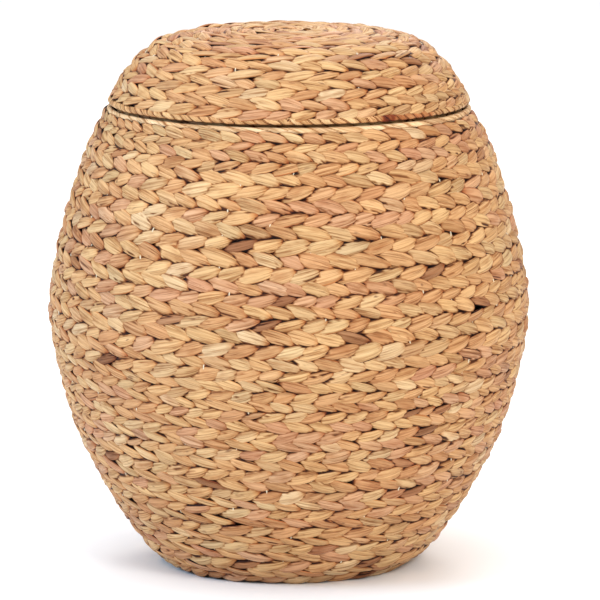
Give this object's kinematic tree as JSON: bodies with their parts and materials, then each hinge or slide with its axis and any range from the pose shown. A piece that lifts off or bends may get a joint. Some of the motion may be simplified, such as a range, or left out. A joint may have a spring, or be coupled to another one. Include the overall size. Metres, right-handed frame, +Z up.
{
  "type": "lidded woven laundry basket",
  "caption": "Barrel-shaped laundry basket of thick plaited natural fibre sewn in a spiral over a wire frame, with a domed lift-off lid.",
  "frame": {"origin": "floor level at the centre of the round base", "axes": "+Z up along the axis of the barrel; the basket is round, and -Y is the side shown to the front"},
  "size_m": [0.48, 0.48, 0.537],
  "materials": {
    "plait": "dry plaited plant fibre, fine lengthwise grain",
    "base_plait": "dry plaited plant fibre, fine lengthwise grain",
    "binding_strip": "flattened plant fibre strip wound round a ring",
    "thread": "twisted natural sewing thread",
    "wire": "dark painted steel wire"
  },
  "bodies": {
    "basket": {"woven_wall": "plait", "woven_base": "base_plait", "rim_wire": "wire", "rim_binding": "binding_strip", "shoulder_hoop": "wire", "belly_hoop": "wire", "lower_hoop": "wire", "base_hoop": "wire", "frame_ribs": "wire", "base_hub_ring": "wire", "wall_stitching": "thread"},
    "lid": {"woven_lid": "plait", "lid_rim_wire": "wire", "lid_rim_binding": "binding_strip", "lid_inner_collar": "base_plait", "lid_crown_hoop": "wire", "lid_ribs": "wire", "lid_hub_ring": "wire", "lid_stitching": "thread"}
  },
  "joints": [
    {"name": "lid_lift", "type": "slide", "parent": "basket", "child": "lid", "axis": [0, 0, 1], "range_m": [0, 0.25]}
  ]
}
